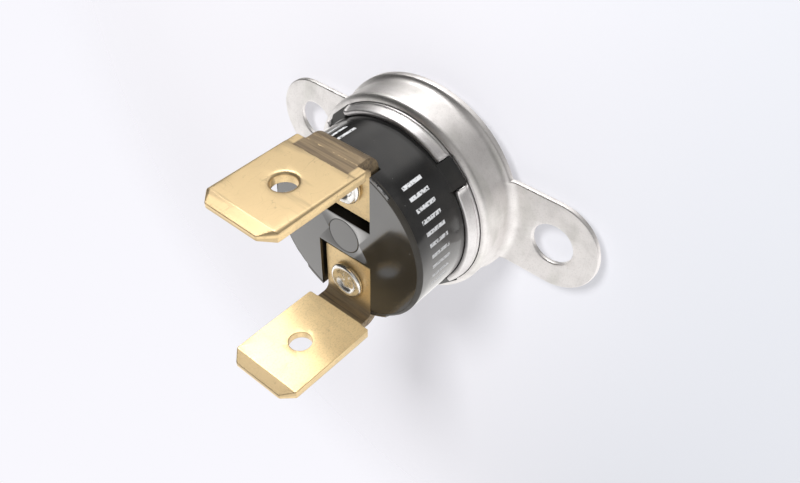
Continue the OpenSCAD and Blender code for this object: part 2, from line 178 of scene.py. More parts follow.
class SwitchStage(bpy.types.PropertyGroup):
    """Camera and light."""

    camera_place: standing_point(
        "Camera place", "Where the camera stands", (0.02880, 0.03773, 0.03987))
    camera_aim: standing_point(
        "Camera aim", "Point in the middle of the picture", (0.00051, -0.00437, 0.00484))
    camera_roll: FloatProperty(
        name="Camera roll", description="Turn of the picture about its middle", subtype="ANGLE",
        unit="ROTATION", default=math.radians(1.65))
    camera_lens: FloatProperty(
        name="Camera lens", description="Focal length in millimetres on a 36 mm sensor",
        default=34.47, min=1)
    room_level: strength("Room level", "Light from the dim part of the room", 0.05)
    table_level: strength("Table level", "Light from the white table below", 1.0)
    mirror_level: strength("Mirror level", "How much more of the white table bare metal shows", 0.3)
    wall_level: strength("Wall level", "Light from the pale wall behind", 1.4)
    side_level: strength("Side level", "Light from the dim window on the right", 0.45)
    front_level: strength("Front level", "Light from the room in front, on the right", 0.45)
    ceiling_level: strength("Ceiling level", "Light from the ceiling", 0.4)
    lamp_level: strength("Lamp level", "Light from the soft box overhead", 8.0)
    key_power: FloatProperty(
        name="Key power", description="Power of the large soft lamp", default=0.45, min=0,
        subtype="POWER", unit="POWER")
    shadow_depth: FloatProperty(
        name="Shadow depth", description="How much of the floor's own shade the picture shows",
        default=0.55, min=0, max=1, subtype="FACTOR")


def sizes():
    """The sizes group with each length in millimetres."""
    group = bpy.context.scene.switch_sizes
    names = SwitchSizes.__annotations__
    return {name: getattr(group, name) / MM for name in names}


def tint(name):
    """A colour of the finishes as a shader takes it."""
    return (*getattr(bpy.context.scene.switch_colours, name), 1)


def between(first, second, share):
    """Fixed colour part of the way from one to another."""
    return tuple(a + (b - a) * share for a, b in zip(first, second))


class Wire:
    """A shader value that can stand in arithmetic; each operation adds a Math node."""

    def __init__(self, finish, socket):
        self.finish = finish
        self.socket = socket

    def _math(self, operation, *values):
        sockets = dict(enumerate(values))
        return self.finish.node("ShaderNodeMath", {"operation": operation}, sockets)

    def __add__(self, other):
        return self._math("ADD", self, other)

    def __radd__(self, other):
        return self._math("ADD", other, self)

    def __sub__(self, other):
        return self._math("SUBTRACT", self, other)

    def __rsub__(self, other):
        return self._math("SUBTRACT", other, self)

    def __mul__(self, other):
        return self._math("MULTIPLY", self, other)

    def __rmul__(self, other):
        return self._math("MULTIPLY", other, self)

    def __pow__(self, other):
        return self._math("POWER", self, other)

    def __abs__(self):
        return self._math("ABSOLUTE", self)

    def largest(self, other):
        return self._math("MAXIMUM", self, other)

    def fraction(self):
        return self._math("FRACT", self)


class Finish:
    """Nodes of one material or world, and the place in millimetres that patterns follow."""

    def __init__(self, owner):
        owner.use_nodes = True
        self.owner = owner
        self.tree = owner.node_tree
        self.tree.nodes.clear()
        self._place = None

    def node(self, kind, settings=None, sockets=None, output=0):
        """Adds a node, sets it up and plugs its sockets with values or wires."""
        made = self.tree.nodes.new(kind)
        for key, value in (settings or {}).items():
            setattr(made, key, value)
        for key, value in (sockets or {}).items():
            if isinstance(value, Wire):
                self.tree.links.new(value.socket, made.inputs[key])
            else:
                made.inputs[key].default_value = value
        return Wire(self, made.outputs[output]) if made.outputs else None

    def place(self):
        """Position on the piece, in millimetres of the frame."""
        if self._place is None:
            spot = self.node("ShaderNodeTexCoord", output=3)
            self._place = self.scaled(spot, (1 / MM,) * 3)
        return self._place

    def scaled(self, vector, factors):
        return self.node("ShaderNodeVectorMath", {"operation": "MULTIPLY"}, {0: vector, 1: factors})

    def parts(self, vector):
        """The X, Y and Z of a vector."""
        split = self.node("ShaderNodeSeparateXYZ", sockets={0: vector})
        return [Wire(self, out) for out in split.socket.node.outputs]

    def joined(self, x, y, z):
        return self.node("ShaderNodeCombineXYZ", sockets={0: x, 1: y, 2: z})

    def round_place(self, turns=1.0):
        """Place unrolled round the Z axis: angle, radius and height, for lines that run round."""
        x, y, z = self.parts(self.place())
        angle = self.node("ShaderNodeMath", {"operation": "ARCTAN2"}, {0: y, 1: x})
        radius = (x * x + y * y) ** 0.5
        return angle * turns, radius, z

    def noise(self, scale, detail=3.0, roughness=0.55, distortion=0.0, stretch=None, vector=None):
        """Cloudy pattern over the place, which can be stretched, or over another vector."""
        vector = vector or self.place()
        if stretch:
            vector = self.scaled(vector, stretch)
        return self.node("ShaderNodeTexNoise", sockets={
            "Vector": vector, "Scale": scale, "Detail": detail, "Roughness": roughness,
            "Distortion": distortion})

    def rise(self, value, low, high):
        """Zero below low, one above high, smooth between."""
        return self.node(
            "ShaderNodeMapRange", {"interpolation_type": "SMOOTHSTEP"},
            {"Value": value, "From Min": low, "From Max": high})

    def window(self, value, low, high, soft):
        """One between low and high, fading to zero over the soft width outside."""
        return self.rise(value, low - soft, low) * (1 - self.rise(value, high, high + soft))

    def mix(self, factor, first, second):
        """Colour between two others."""
        return self.node(
            "ShaderNodeMix", {"data_type": "RGBA"}, {0: factor, 6: first, 7: second}, output=2)

    def bump(self, height, strength, distance):
        return self.node("ShaderNodeBump", sockets={
            "Height": height, "Strength": strength, "Distance": distance * MM})

    def surface(self, **sockets):
        """Ends the material in a Principled shader, with sockets named in plain snake case."""
        names = {key.replace("_", " ").title(): value for key, value in sockets.items()}
        names = {key.replace("Ior", "IOR"): value for key, value in names.items()}
        shader = self.node("ShaderNodeBsdfPrincipled", sockets=names)
        return self.output(shader)

    def output(self, shader):
        self.node("ShaderNodeOutputMaterial", sockets={"Surface": shader})
        return self.owner


def new_finish(name):
    return Finish(bpy.data.materials.new(name))


BLACK = (0, 0, 0, 1)
DULL_SHEET = (0.30, 0.29, 0.28, 1)
SMEARED_SHEET = (0.58, 0.59, 0.54, 1)
WORKED_PLATING = (0.36, 0.34, 0.31, 1)
FLOW_PHENOLIC = (0.016, 0.015, 0.014, 1)
BROKEN_PHENOLIC = (0.026, 0.023, 0.018, 1)
PAPER_MOTTLE = (0.80, 0.79, 0.82, 1)


def brass_finish(name, shoulder_z, bend_y):
    """Rolled brass: satin, with smudges, hairline scratches, a tarnished strip at the shoulder, and painted shade
    on the outer faces, the bend and the inner tip bevel.
    """
    f = new_finish(name)
    x, y, z = f.parts(f.place())
    cloud = f.noise(0.45, 4)
    streak = f.noise(1.0, 3, stretch=(0.16, 1.0, 1.3))
    rolled = f.noise(1.0, 2, stretch=(9.0, 1.0, 0.25))
    speck = f.noise(7.0, 3, 0.65)
    hair = f.noise(1.0, 1, distortion=0.4, stretch=(1.1, 1.0, 0.5))
    scratch = 1 - f.rise(abs(hair - 0.5), 0.0, 0.004)
    ragged = f.noise(1.6, 3, 0.6, stretch=(1.0, 1.0, 0.3)) - 0.5
    outer = f.rise(abs(y), TAB_HIGH.y - 0.3, TAB_HIGH.y - 0.1)
    inner = 1 - f.rise(abs(y), TAB_HIGH.y - 0.45, TAB_HIGH.y - 0.35)
    # Mask of the inner side of the tip bevel, where painted shade darkens the brass.
    coined = inner * f.rise(z, TAB_HIGH.z - 0.92, TAB_HIGH.z - 0.86)
    matt = inner * f.rise(z, shoulder_z - 0.1, shoulder_z)
    matt = matt * (1 - f.rise(z, shoulder_z + 0.6, shoulder_z + 3.6))
    smudge = f.rise(streak, 0.54, 0.70) * (0.15 + outer * 0.3)
    strip = outer * f.window(z + ragged * 0.5, shoulder_z - 0.02, shoulder_z + 1.05, 0.06)
    strip = strip * (1 - f.rise(abs(x), 2.35, 2.55))
    # The bend and the plate beside it: painted shade toward tarnish, with tool lines across it.
    bent = f.rise(abs(y), bend_y - 0.9, bend_y + 0.4)
    bent = bent * (1 - f.rise(z, shoulder_z - 0.08, shoulder_z))
    lines = f.rise(f.noise(1.0, 3, stretch=(0.25, 4.0, 6.0)), 0.40, 0.65)
    tooling_and_bend_shade = (strip * (0.8 + lines * 0.2)).largest(bent * (0.78 + lines * 0.2))
    deep = between(tint("brass"), tint("tarnish_and_shade"), 0.5)
    shade = f.mix(f.rise(cloud, 0.35, 0.75) * 0.3, tint("brass"), deep)
    # Painted shade: the outer faces are darkened all over toward half-tarnished brass, on top of their real
    # smudges.
    shade = f.mix(smudge.largest(outer * 0.72), shade, deep)
    shade = f.mix(smudge * outer * 0.7, shade, tint("tarnish_and_shade"))
    shade = f.mix(f.rise(speck, 0.48, 0.66) * (0.4 - outer * 0.25), shade, deep)
    # Painted shade on the inner side of the tip bevel.
    shade = f.mix(coined * 0.8, shade, deep)
    # Real tarnish on the strip at the shoulder, and painted shade on the bend.
    shade = f.mix(tooling_and_bend_shade, shade, tint("tarnish_and_shade"))
    shade = f.mix(scratch * 0.35, shade, tint("tarnish_and_shade"))
    grain = rolled * 0.5 + speck * 0.6 - scratch * 0.8
    return f.surface(
        base_color=shade,
        metallic=0.78 + outer * 0.1 - matt * 0.4,
        roughness=0.30 + rolled * 0.1 + tooling_and_bend_shade * 0.25 + smudge * 0.12 + matt * 0.15,
        normal=f.bump(grain, 0.25, 0.006),
    )


def sheet_finish(name, shade_name, brushed):
    """Satin aluminium, mottled all over, with fine lines round the axis where it is brushed."""
    f = new_finish(name)
    angle, radius, z = f.round_place(0.8)
    lines = f.noise(1.0, 4, 0.65, vector=f.joined(angle, radius * 9.0, z * 11.0))
    mottle = f.noise(0.9, 4, 0.6)
    speck = f.noise(9.0, 2, 0.6)
    dull = between(tint(shade_name), DULL_SHEET, 0.45)
    shade = f.mix(f.rise(mottle, 0.4, 0.75) * 0.35, tint(shade_name), dull)
    shade = f.mix(f.rise(lines, 0.55, 0.75) * brushed, shade, dull)
    shade = f.mix(f.rise(speck, 0.5, 0.7) * 0.3, shade, dull)
    smear = f.noise(1.0, 3, 0.6, vector=f.joined(angle * 2.5, radius * 0.5, z * 0.6))
    shade = f.mix(f.rise(smear, 0.48, 0.68) * 0.3, shade, SMEARED_SHEET)
    grain = lines * brushed + speck * 0.35
    return f.surface(
        base_color=shade,
        metallic=1.0,
        roughness=0.38 + mottle * 0.2 - lines * brushed * 0.08,
        normal=f.bump(grain, 0.3, 0.008),
    )


def plating_finish(name):
    """Bright plating on the rivets, a little dull where the roll was worked."""
    f = new_finish(name)
    dent = f.noise(1.8, 3, 0.6)
    shade = f.mix(f.rise(dent, 0.45, 0.7) * 0.4, tint("plating"), WORKED_PLATING)
    return f.surface(
        base_color=shade,
        metallic=1.0,
        roughness=0.18 + dent * 0.16,
        normal=f.bump(dent, 0.2, 0.03),
    )


def phenolic_finish(name, face_z, barrel_r, chamfer):
    """Black moulding: glossy skin whose coat is placed as painted sheen, rougher chamfer, flash on the sharp
    edges, worn printed ticks.
    """
    f = new_finish(name)
    angle, radius, z = f.round_place()
    x, y, z = f.parts(f.place())
    flow = f.noise(0.55, 4, 0.6)
    skin = f.noise(6.0, 3, 0.6)
    grains = f.rise(f.noise(4.0, 1), 0.78, 0.80)
    dust = grains * f.rise(f.noise(0.5, 1), 0.5, 0.6)
    rim = f.rise(radius, barrel_r - 0.06, barrel_r - 0.03) * f.rise(z, face_z - 0.1, face_z - 0.05)
    flash = rim * f.rise(f.noise(2.6, 4, 0.7), 0.40, 0.52)
    face = f.rise(z, face_z - 0.03, face_z - 0.01)
    # Gloss coat placed by position as painted sheen: on the face except a band on its right, and on the barrel
    # except its top, which stays dark.
    dull = f.rise(y, -1.5, 3.0) * f.rise(x, -5.2, -3.6)
    dim_face_band = f.rise(x - y * 0.71, 2.0, 2.3) * (1 - f.rise(y, 2.8, 3.5))
    barrel = f.window(radius, barrel_r - 0.1, barrel_r + 0.02, 0.02)
    placed_sheen = (face * (1 - dim_face_band * 0.88)).largest(barrel * (1 - dull))
    row = f.window(angle, -0.22, 0.98, 0.01) + f.window(angle, 1.78, 2.06, 0.01)
    tick = f.window((angle * 8.0).fraction(), 0.35, 0.65, 0.03)
    worn = f.rise(f.noise(4.5, 3, 0.7), 0.36, 0.48)
    ink = barrel * row * tick * worn * f.window(z, face_z - 3.3, face_z - 1.4, 0.04)
    key = f.rise(radius, barrel_r + 0.03, barrel_r + 0.08)
    slope = barrel_r + face_z - chamfer
    broken = f.window(radius + z, slope - 0.05, slope + 0.05, 0.04)
    shade = f.mix(f.rise(flow, 0.4, 0.7), tint("phenolic"), FLOW_PHENOLIC)
    shade = f.mix(broken * 0.8, shade, BROKEN_PHENOLIC)
    shade = f.mix(dust.largest(flash * 0.4), shade, tint("dust"))
    shade = f.mix(ink, shade, tint("ink"))
    return f.surface(
        base_color=shade,
        roughness=0.11 + flow * 0.06 + (broken + key + ink) * 0.35 + flash * 0.3 + dust * 0.3,
        ior=1.5,
        coat_weight=placed_sheen * (1 - broken) * (1 - ink),
        coat_ior=2.15,
        coat_roughness=0.09,
        normal=f.bump(skin * 0.5 + flow, 0.10, 0.02),
    )


def plain_metal_finish(name, shade, roughness):
    """Metal of the pieces inside: rolled grain and light wear."""
    f = new_finish(name)
    grain = f.noise(2.0, 3, stretch=(1.0, 7.0, 1.0))
    wear = f.noise(1.1, 4)
    dull = tuple(0.55 * part for part in shade) + (1,)
    mixed = f.mix(f.rise(wear, 0.45, 0.75) * 0.6, (*shade, 1), dull)
    return f.surface(
        base_color=mixed,
        metallic=1.0,
        roughness=roughness + grain * 0.12,
        normal=f.bump(grain, 0.2, 0.006),
    )


def moulded_finish(name, shade, roughness):
    """Moulded or fired pieces inside: fine speckle and a soft surface."""
    f = new_finish(name)
    speckle = f.noise(5.0, 4, 0.7)
    dark = tuple(0.7 * part for part in shade) + (1,)
    mixed = f.mix(f.rise(speckle, 0.4, 0.7), (*shade, 1), dark)
    return f.surface(
        base_color=mixed,
        roughness=roughness + speckle * 0.1,
        normal=f.bump(speckle, 0.15, 0.01),
    )


def steps(start, end, count):
    """Count + 1 values from start to end."""
    return [start + (end - start) * i / count for i in range(count + 1)]


def around(count):
    """Angles of a full turn, without its end."""
    return steps(0, 2 * math.pi, count)[:-1]


def polar(radius, angle, z=0.0):
    return Vector((radius * math.cos(angle), radius * math.sin(angle), z))


def ease(value, low, high):
    """Zero at low, one at high, smooth between, for either order of the two."""
    part = min(max((value - low) / (high - low), 0.0), 1.0)
    return part * part * (3 - 2 * part)


class Shell:
    """A mesh under construction, in millimetres."""

    def __init__(self):
        self.mesh = bmesh.new()

    def loop(self, points):
        return [self.mesh.verts.new(point) for point in points]

    def skin(self, loops, meet=False):
        """Quads between neighbouring closed loops; meet joins the last loop to the first."""
        pairs = list(zip(loops, loops[1:]))
        if meet:
            pairs.append((loops[-1], loops[0]))
        for first, second in pairs:
            for i in range(len(first)):
                j = (i + 1) % len(first)
                self.mesh.faces.new((first[i], first[j], second[j], second[i]))

    def cap(self, loop):
        self.mesh.faces.new(loop)

    def fill(self, *loops):
        """Flat face between loops that lie in one plane, the later ones being holes in it."""
        edges = []
        for loop in loops:
            for i, vert in enumerate(loop):
                ends = (vert, loop[(i + 1) % len(loop)])
                edges.append(self.mesh.edges.get(ends) or self.mesh.edges.new(ends))
        bmesh.ops.triangle_fill(self.mesh, use_beauty=True, edges=edges)

    def slice(self, axis, places):
        """Adds edges where planes across the axis cut the mesh."""
        for place in places:
            bmesh.ops.bisect_plane(
                self.mesh, geom=self.mesh.verts[:] + self.mesh.edges[:] + self.mesh.faces[:],
                plane_co=axis * place, plane_no=axis, dist=1e-5)

    def move(self, moved):
        """Moves each point to where the given function puts it."""
        for vert in self.mesh.verts:
            vert.co = moved(vert.co)

    def lathe(self, section, count, centre=Vector((0, 0, 0)), warp=None):
        """Turns an open section of (radius, z) points that starts and ends on the axis."""
        inner = section[1:-1]
        loops = []
        for radius, z in inner:
            ring = []
            for i in range(count):
                angle = 2 * math.pi * i / count
                point = polar(radius, angle, z)
                ring.append(centre + (warp(point, angle) if warp else point))
            loops.append(self.loop(ring))
        self.skin(loops)
        for loop, (_, z) in ((loops[0], section[0]), (loops[-1], section[-1])):
            point = Vector((0, 0, z))
            tip = self.mesh.verts.new(centre + (warp(point, 0.0) if warp else point))
            for i, vert in enumerate(loop):
                self.mesh.faces.new((tip, vert, loop[(i + 1) % count]))

    def wedge(self, section, width, edge, place):
        """Solid with a section of (x, z) points and rounded edges, put in place by a matrix."""
        sides = []
        for y in (-width / 2, width / 2):
            sides.append(self.loop([place @ Vector((x, y, z)) for x, z in section]))
        self.skin(sides)
        for side in sides:
            self.cap(side)
        edges = {e for side in sides for vert in side for e in vert.link_edges}
        bmesh.ops.bevel(
            self.mesh, geom=list(edges), offset=edge, segments=3, profile=0.5, affect="EDGES",
            clamp_overlap=True)

    def object(self, name):
        """An object in millimetres that holds the mesh."""
        bmesh.ops.recalc_face_normals(self.mesh, faces=self.mesh.faces[:])
        data = bpy.data.meshes.new(name)
        self.mesh.to_mesh(data)
        self.mesh.free()
        made = bpy.data.objects.new(name, data)
        bpy.context.scene.collection.objects.link(made)
        return made


def cut(target, cutter):
    """Takes the cutter's solid away from the target and deletes the cutter."""
    boolean = target.modifiers.new("Cut", "BOOLEAN")
    boolean.object = cutter
    boolean.solver = "EXACT"
    evaluated = target.evaluated_get(bpy.context.evaluated_depsgraph_get())
    whole = target.data
    target.data = bpy.data.meshes.new_from_object(evaluated)
    target.modifiers.clear()
    bpy.data.meshes.remove(whole)
    bpy.data.objects.remove(cutter)


SHARP_ANGLE = math.radians(50)


def finish_piece(made, material, node):
    """Scales a piece to metres, gives it its finish and puts it in its node's place."""
    made.data.transform(Matrix.Scale(MM, 4))
    made.data.materials.clear()
    made.data.materials.append(material)
    made.data.shade_smooth()
    made.data.set_sharp_from_angle(angle=SHARP_ANGLE)
    normals = made.modifiers.new("Even normals", "WEIGHTED_NORMAL")
    normals.keep_sharp = True
    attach(made, HOUSING)
    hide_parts(node)


FLOOR_R = 65
PAPER_LOSS = 0.19
KEY_LAMP_PLACE = (5, 150, 140)
KEY_LAMP_SIZE = 62
EAR_COLUMNS = 64
RING_COLUMNS = 128
FILLET_ROWS = 8
RUN_ROWS = 6
EDGE_ROWS = 4
DRILL_COLUMNS = 64
EAR_WAVE = 0.07
EAR_WAVE_PITCH = 0.22


def ear_outline(hole_x, half, root_x, share):
    """Point and outward normal on the right ear's edge, a share of the way round it."""
    side = hole_x - root_x
    end = math.pi * half
    along = share * (2 * side + end)
    if along <= side:
        return Vector((root_x + along, -half, 0)), Vector((0, -1, 0))
    if along < side + end:
        angle = (along - side) / half - math.pi / 2
        return Vector((hole_x, 0, 0)) + polar(half, angle), polar(1, angle)
    return Vector((root_x + 2 * side + end - along, half, 0)), Vector((0, 1, 0))


def flange_columns(hole_x, half, brim):
    """Foot angle, edge point and outward normal of each column, once round the flange."""
    corner = math.asin(half / brim)
    columns = []
    for turn in (0.0, math.pi):
        spin = Matrix.Rotation(turn, 3, "Z")
        for share in steps(0, 1, EAR_COLUMNS):
            point, normal = ear_outline(hole_x, half, brim * math.cos(corner), share)
            if share in (0, 1):
                normal = (normal + point.normalized()).normalized()
            columns.append((turn + corner * (2 * share - 1), spin @ point, spin @ normal))
        for angle in steps(corner, math.pi - corner, RING_COLUMNS)[1:-1]:
            columns.append((turn + angle, polar(brim, turn + angle), polar(1, turn + angle)))
    return columns


def flange_section(s, column):
    """Closed section of the drawn sheet at one column, from the curled lip round and back."""
    angle, edge_point, normal = column
    sheet = s["flange_sheet"]
    fillet = s["collar_fillet"]
    wall_in = s["collar_inside"]
    wall_out = wall_in + sheet
    back = FLANGE_LOW.z
    front = back + sheet
    top = FLANGE_HIGH.z
    fillet_end = wall_out + fillet
    curl = s["curl_bend"]
    curl_r = wall_out - curl - sheet
    curl_z = top - curl - sheet
    edge = s["ear_edge"]
    foot_r = min(fillet_end, edge_point.length - 1.5 * edge)

    def height(radius, base, bend):
        inside = max(fillet_end - radius, 0.0)
        return base + bend - math.sqrt(max(bend * bend - inside * inside, 0.0))

    def bent(bend, base):
        last = math.acos(min((fillet_end - foot_r) / bend, 1.0))
        rows = []
        for a in steps(0, last, FILLET_ROWS):
            radius = fillet_end - bend * math.cos(a)
            rows.append(polar(radius, angle, base + bend - bend * math.sin(a)))
        return rows

    def run(base, bend, inset):
        foot = polar(foot_r, angle)
        goal = edge_point - normal * inset
        rows = []
        for share in steps(0, 1, RUN_ROWS)[1:]:
            spot = foot.lerp(goal, share)
            spot.z = height(spot.length, base, bend)
            rows.append(spot)
        return rows

    def curled(radius, first, last):
        return [polar(curl_r + radius * math.cos(a), angle, curl_z + radius * math.sin(a))
                for a in steps(first, last, EDGE_ROWS + 2)]

    def rounded(base, bend, radius, down):
        rows = []
        for a in steps(0, math.pi / 2, EDGE_ROWS)[1:]:
            spot = edge_point - normal * radius * (1 - math.sin(a))
            level = height(spot.length, base, bend)
            spot.z = level - down * radius * (1 - math.cos(a))
            rows.append(spot)
        return rows

    quarter = math.pi / 2
    burr = edge / 2
    outside = curled(curl + sheet, quarter, 0)
    outside += bent(fillet, front)
    outside += run(front, fillet, edge)
    outside += rounded(front, fillet, edge, 1)
    inside = curled(curl, quarter, 0)
    inside += bent(fillet + sheet, back)
    inside += run(back, fillet + sheet, burr)
    inside += rounded(back, fillet + sheet, burr, -1)
    return outside + inside[::-1]


def flange_wave(point):
    """The ears aren't quite flat after stamping."""
    out = ease(abs(point.x), FLANGE_HIGH.y, FLANGE_HIGH.x)
    ripple = noise.noise(Vector((point.x * EAR_WAVE_PITCH, point.y * EAR_WAVE_PITCH, 3.0)))
    return point + Vector((0, 0, EAR_WAVE * out * ripple))


def make_flange(s):
    """Drawn flange with a curled collar and two drilled ears."""
    hole_x = EAR_HOLES["spacing_x_mm"] / 2
    hole_r = EAR_HOLES["hole_r_mm"]
    half = FLANGE_HIGH.x - hole_x
    shell = Shell()
    columns = flange_columns(hole_x, half, FLANGE_HIGH.y)
    shell.skin([shell.loop(flange_section(s, column)) for column in columns], meet=True)
    flange = shell.object("drawn_flange")
    back = FLANGE_LOW.z
    front = back + s["flange_sheet"]
    flare = s["ear_edge"]
    section = [(0, back - 1), (hole_r + 1, back - 1 + flare / 2), (hole_r, back + flare / 2)]
    section += [(hole_r, front - flare), (hole_r + flare * 0.3, front - flare * 0.3)]
    section += [(hole_r + 1 + flare * 0.3, front - flare * 0.3 + 0.5), (0, front + 1)]
    for side in (-1, 1):
        drill = Shell()
        drill.lathe(section, DRILL_COLUMNS, Vector((side * hole_x, 0, 0)))
        cut(flange, drill.object("drill"))
    for vert in flange.data.vertices:
        vert.co = flange_wave(vert.co)
    return flange


KEY_ANGLES = [math.radians(45 + 90 * i) for i in range(4)]
CUP_COLUMNS = 360
CUP_FLOOR_RINGS = (2.0, 4.5)
STEP_DROP = 0.56
NOTCH_GAP = 0.08
NOTCH_SOFT = math.radians(0.5)
NOTCH_FOOT = 0.03
TORN_LIP = 0.16
TORN_WIDTH = 0.035
BURR_LIP = 0.14
BURR_WIDTH = 0.02
BAND_WAVE = 0.025


def turned_away(angle, other):
    """Distance between two angles, in radians."""
    return abs((angle - other + math.pi) % (2 * math.pi) - math.pi)


def make_cup(s):
    """Sensing cup whose crimped band is torn and burred beside its notches."""
    radius = CUP_HIGH.x
    sheet = s["cup_sheet"]
    corner = s["cup_corner"]
    band_r = radius - s["cup_step"]
    tall = s["crimp_height"]
    foot = s["crimp_foot"]
    crimp_z = CUP_HIGH.z - tall
    step_z = crimp_z - STEP_DROP
    notch = (s["key_width"] / 2 + NOTCH_GAP) / band_r
    soft = NOTCH_SOFT
    angles = around(CUP_COLUMNS)
    for key in KEY_ANGLES:
        for edge in (-notch, notch):
            angles += [key + edge + shift * soft for shift in (-1.3, -0.6, 0.0, 0.6, 1.3)]
    angles = sorted(set(round(angle, 5) for angle in angles))

    def section(angle):
        near = min(turned_away(angle, key) for key in KEY_ANGLES)
        lift = NOTCH_FOOT + (1 - NOTCH_FOOT) * ease(near, notch - soft, notch + soft)
        torn = math.exp(-((near - notch) / TORN_WIDTH) ** 2)
        ragged = noise.noise(Vector((math.cos(angle) * 6, math.sin(angle) * 6, 1.0)))
        burr = math.exp(-((near - notch) / BURR_WIDTH) ** 2) * max(0.5 + ragged, 0.0)
        wave = BAND_WAVE * noise.noise(Vector((math.cos(angle) * 2, math.sin(angle) * 2, 5.0)))

        def band(height, inset, dent=0.0):
            share = max(height - foot, 0.0) / (tall - foot)
            lean = s["crimp_lean"] * share * lift
            lip = TORN_LIP * torn * share * lift * (0.6 + ragged)
            lip += BURR_LIP * burr * (1 - share) * lift
            rise = crimp_z + height * lift * (1 + 0.03 * ragged * share)
            return band_r - inset - dent - lean + wave * share + lip, rise

        rows = [(ring, 0) for ring in (*CUP_FLOOR_RINGS, radius - corner)]
        rows += [(radius - corner + corner * math.sin(a), corner - corner * math.cos(a))
                 for a in steps(0, math.pi / 2, 6)[1:]]
        rows += [(radius, step_z), (band_r, step_z + s["cup_step"]), (band_r, crimp_z)]
        rows += [band(foot - 0.06, 0), band(foot, 0, 0.06), band(foot + 0.06, 0, 0.02)]
        rows += [band(tall * share, 0) for share in (0.35, 0.5, 0.65, 0.8)]
        rows += [band(tall - 0.09, 0), band(tall - 0.04, 0, 0.015), band(tall - 0.01, 0, 0.05)]
        rows += [band(tall, 0.10), band(tall, sheet - 0.08), band(tall - 0.05, sheet)]
        rows += [band(tall * share, sheet) for share in (0.8, 0.65, 0.5, 0.35)]
        rows += [(band_r - sheet, crimp_z), (band_r - sheet, step_z + s["cup_step"])]
        rows += [(radius - sheet, step_z)]
        inner = corner - sheet
        rows += [(radius - corner + inner * math.cos(a), corner - inner * math.sin(a))
                 for a in steps(0, math.pi / 2, 4)]
        rows += [(ring, sheet) for ring in CUP_FLOOR_RINGS[::-1]]
        return [polar(r, angle, z) for r, z in rows]

    shell = Shell()
    loops = [shell.loop(section(angle)) for angle in angles]
    for first, second in zip(loops, loops[1:] + loops[:1]):
        for i in range(len(first) - 1):
            shell.mesh.faces.new((first[i], first[i + 1], second[i + 1], second[i]))
    shell.cap([loop[0] for loop in loops])
    shell.cap([loop[-1] for loop in loops])
    return shell.object("crimped_cup")


def inset_loop(points, amounts):
    """A closed outline moved inward, each point by its own amount."""
    moved = []
    for i, point in enumerate(points):
        before = (point - points[i - 1]).normalized()
        after = (points[(i + 1) % len(points)] - point).normalized()
        normal_before = Vector((-before.y, before.x))
        normal_after = Vector((-after.y, after.x))
        miter = (normal_before + normal_after).normalized()
        stretch = max(miter.dot(normal_before), 0.35)
        moved.append(point + miter * amounts[i] / stretch)
    return moved


BODY_WALL = 0.95
BODY_ROOF = 1.2
FACE_EDGE = 0.03
CHAMFER_END = (math.radians(53), math.radians(55))
CHAMFER_SPREAD = 0.25
MARK_GROOVE = 0.03
KEY_GAP = 0.08
KEY_ROOT = 0.5
KEY_EDGE = 0.05
KEY_TUCK = 0.03


